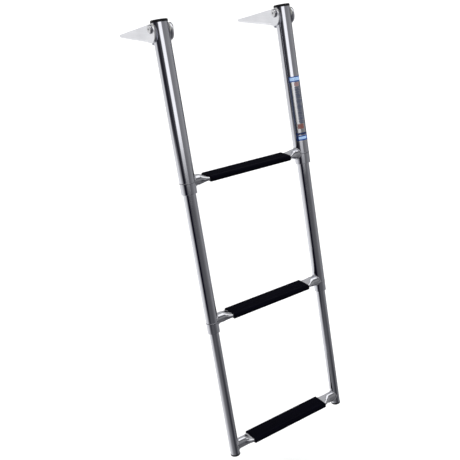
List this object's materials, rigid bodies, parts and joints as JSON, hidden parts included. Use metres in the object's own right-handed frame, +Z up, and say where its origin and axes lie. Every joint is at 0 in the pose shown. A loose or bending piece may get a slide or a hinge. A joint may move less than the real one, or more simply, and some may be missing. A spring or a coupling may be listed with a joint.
{
  "type": "boat boarding ladder",
  "caption": "Telescoping boat boarding ladder of tube sections with black sleeved treads, hinged at the top to two platform brackets.",
  "frame": {"origin": "centre of the four platform screw holes, on the underside of the two bracket bases", "axes": "+Z up, +Y from the hinge towards the boat, +X along the steps from the left rail to the right rail as seen by the person climbing"},
  "size_m": [0.3318, 0.3055, 0.8794],
  "materials": {
    "polished_stainless": "mirror-polished stainless tube",
    "satin_stainless": "satin stainless sheet",
    "fastener_steel": "bright stainless fastener",
    "black_tread": "ribbed, matt",
    "black_plastic": "moulded, slightly glossy",
    "white_nylon": "natural nylon",
    "label_film": "printed film with plain colour blocks"
  },
  "bodies": {
    "brackets": {"left_bracket": "satin_stainless", "left_hinge_barrel": "fastener_steel", "left_hinge_screw": "fastener_steel", "left_steel_washers": "fastener_steel", "left_nylon_washers": "white_nylon", "right_bracket": "satin_stainless", "right_hinge_barrel": "fastener_steel", "right_hinge_screw": "fastener_steel", "right_steel_washers": "fastener_steel", "right_nylon_washers": "white_nylon"},
    "outer_section": {"left_outer_rail": "polished_stainless", "left_top_cap": "black_plastic", "left_hinge_sleeve": "polished_stainless", "left_outer_collar": "polished_stainless", "left_outer_liner": "white_nylon", "right_outer_rail": "polished_stainless", "right_top_cap": "black_plastic", "right_hinge_sleeve": "polished_stainless", "right_outer_collar": "polished_stainless", "right_outer_liner": "white_nylon", "top_step": "polished_stainless", "top_tread": "black_tread", "rail_label": "label_film"},
    "middle_section": {"left_middle_rail": "polished_stainless", "left_middle_piston": "white_nylon", "left_middle_piston_rivets": "fastener_steel", "left_middle_collar": "polished_stainless", "left_middle_liner": "white_nylon", "right_middle_rail": "polished_stainless", "right_middle_piston": "white_nylon", "right_middle_piston_rivets": "fastener_steel", "right_middle_collar": "polished_stainless", "right_middle_liner": "white_nylon", "middle_step": "polished_stainless", "middle_tread": "black_tread"},
    "inner_section": {"left_inner_rail": "polished_stainless", "left_inner_piston": "white_nylon", "left_inner_piston_rivets": "fastener_steel", "left_foot_plug": "black_plastic", "right_inner_rail": "polished_stainless", "right_inner_piston": "white_nylon", "right_inner_piston_rivets": "fastener_steel", "right_foot_plug": "black_plastic", "bottom_step": "polished_stainless", "bottom_tread": "black_tread"}
  },
  "joints": [
    {"name": "ladder_swing", "type": "hinge", "parent": "brackets", "child": "outer_section", "pos_m": [0, -0.075, 0.025], "axis": [-1, 0, 0], "range_deg": [0, 260]},
    {"name": "middle_slide", "type": "slide", "parent": "outer_section", "child": "middle_section", "axis": [0, 0.1822, 0.9833], "range_m": [0, 0.246]},
    {"name": "inner_slide", "type": "slide", "parent": "middle_section", "child": "inner_section", "axis": [0, 0.1822, 0.9833], "range_m": [0, 0.241]}
  ]
}
